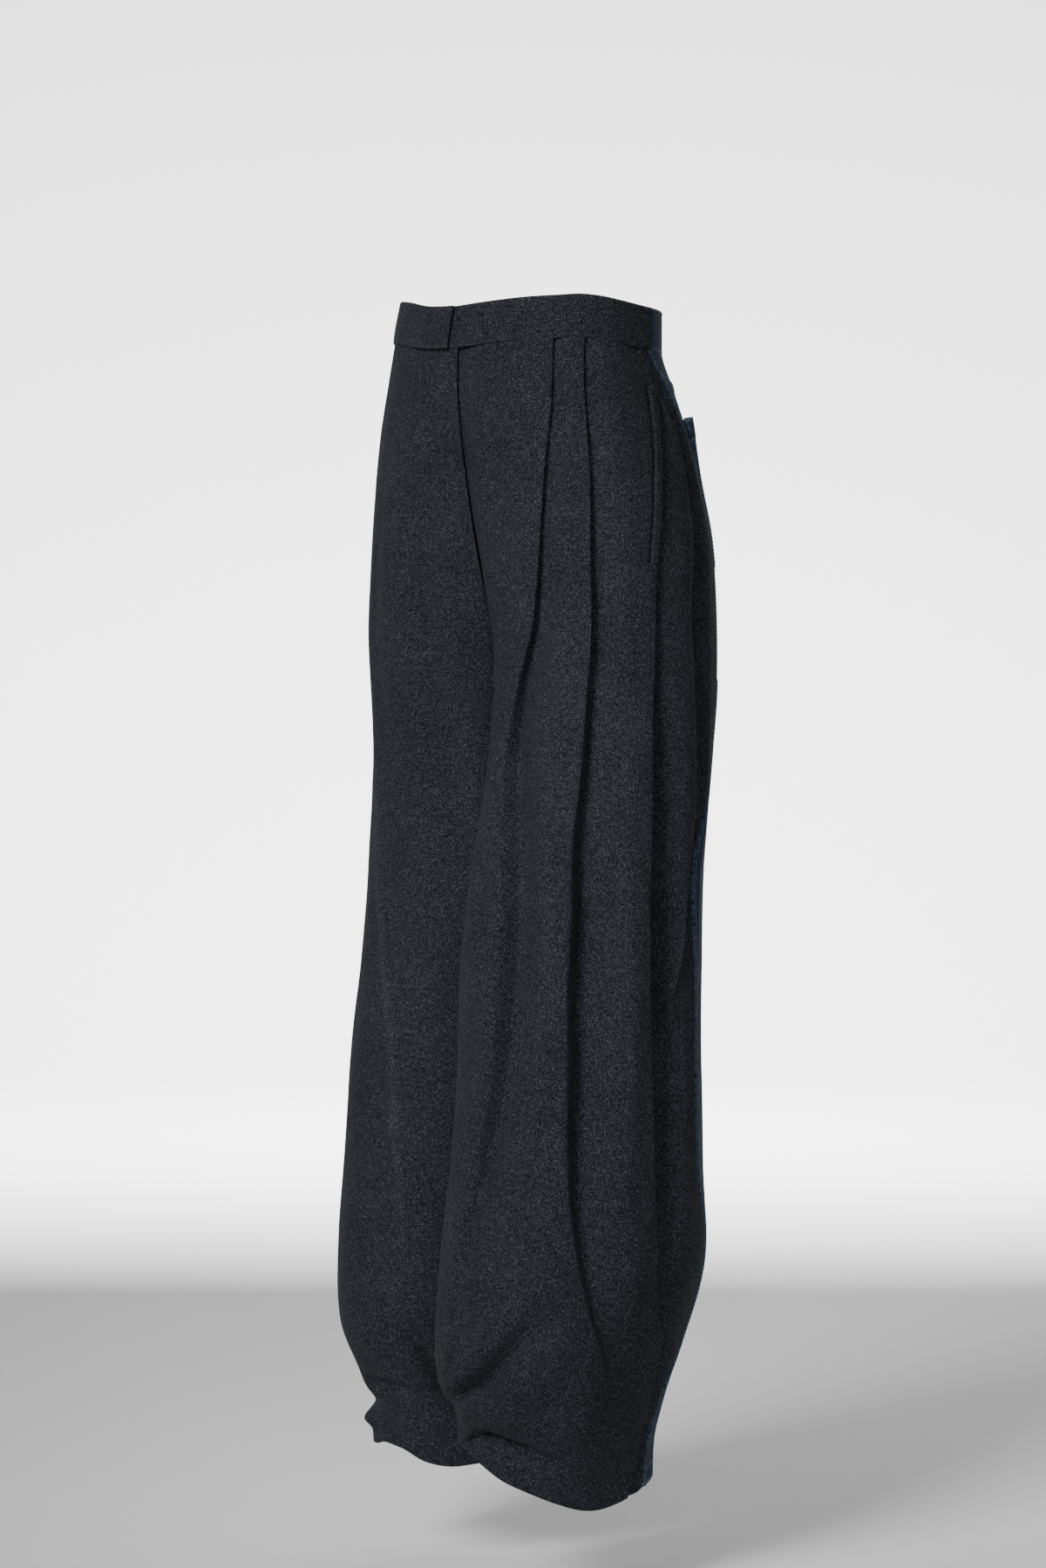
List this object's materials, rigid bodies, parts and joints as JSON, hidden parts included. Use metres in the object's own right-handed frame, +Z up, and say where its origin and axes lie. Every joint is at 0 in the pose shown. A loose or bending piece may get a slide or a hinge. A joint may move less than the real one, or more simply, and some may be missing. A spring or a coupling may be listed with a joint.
{
  "type": "wide pleated jeans with wool fronts and denim backs, worn and hollow",
  "caption": "Wide barrel-leg jeans in worn, hollow form: pleated charcoal wool fronts, indigo denim backs, lapped waistband, open waist and hems.",
  "frame": {"origin": "middle of the waist opening at the top of the waistband, where the wearer's waist holds the garment up", "axes": "+Z up along the garment towards the waist, -Y towards the wearer's front, +X towards the wearer's left"},
  "size_m": [0.4227, 0.3393, 1.0926],
  "materials": {
    "charcoal_wool": "matt melange flannel with a soft nap",
    "indigo_denim": "matt dark twill, paler at worn edges"
  },
  "bodies": {
    "root": {"front_left": "charcoal_wool", "front_right": "charcoal_wool", "side_left": "charcoal_wool", "side_right": "charcoal_wool", "pocket_edge_left": "charcoal_wool", "pocket_edge_right": "charcoal_wool", "waistband_front_left": "charcoal_wool", "waistband_front_right": "charcoal_wool", "back_left": "indigo_denim", "back_right": "indigo_denim", "yoke_left": "indigo_denim", "yoke_right": "indigo_denim", "back_pocket_left": "indigo_denim", "back_pocket_right": "indigo_denim", "waistband_back": "indigo_denim"}
  },
  "joints": []
}
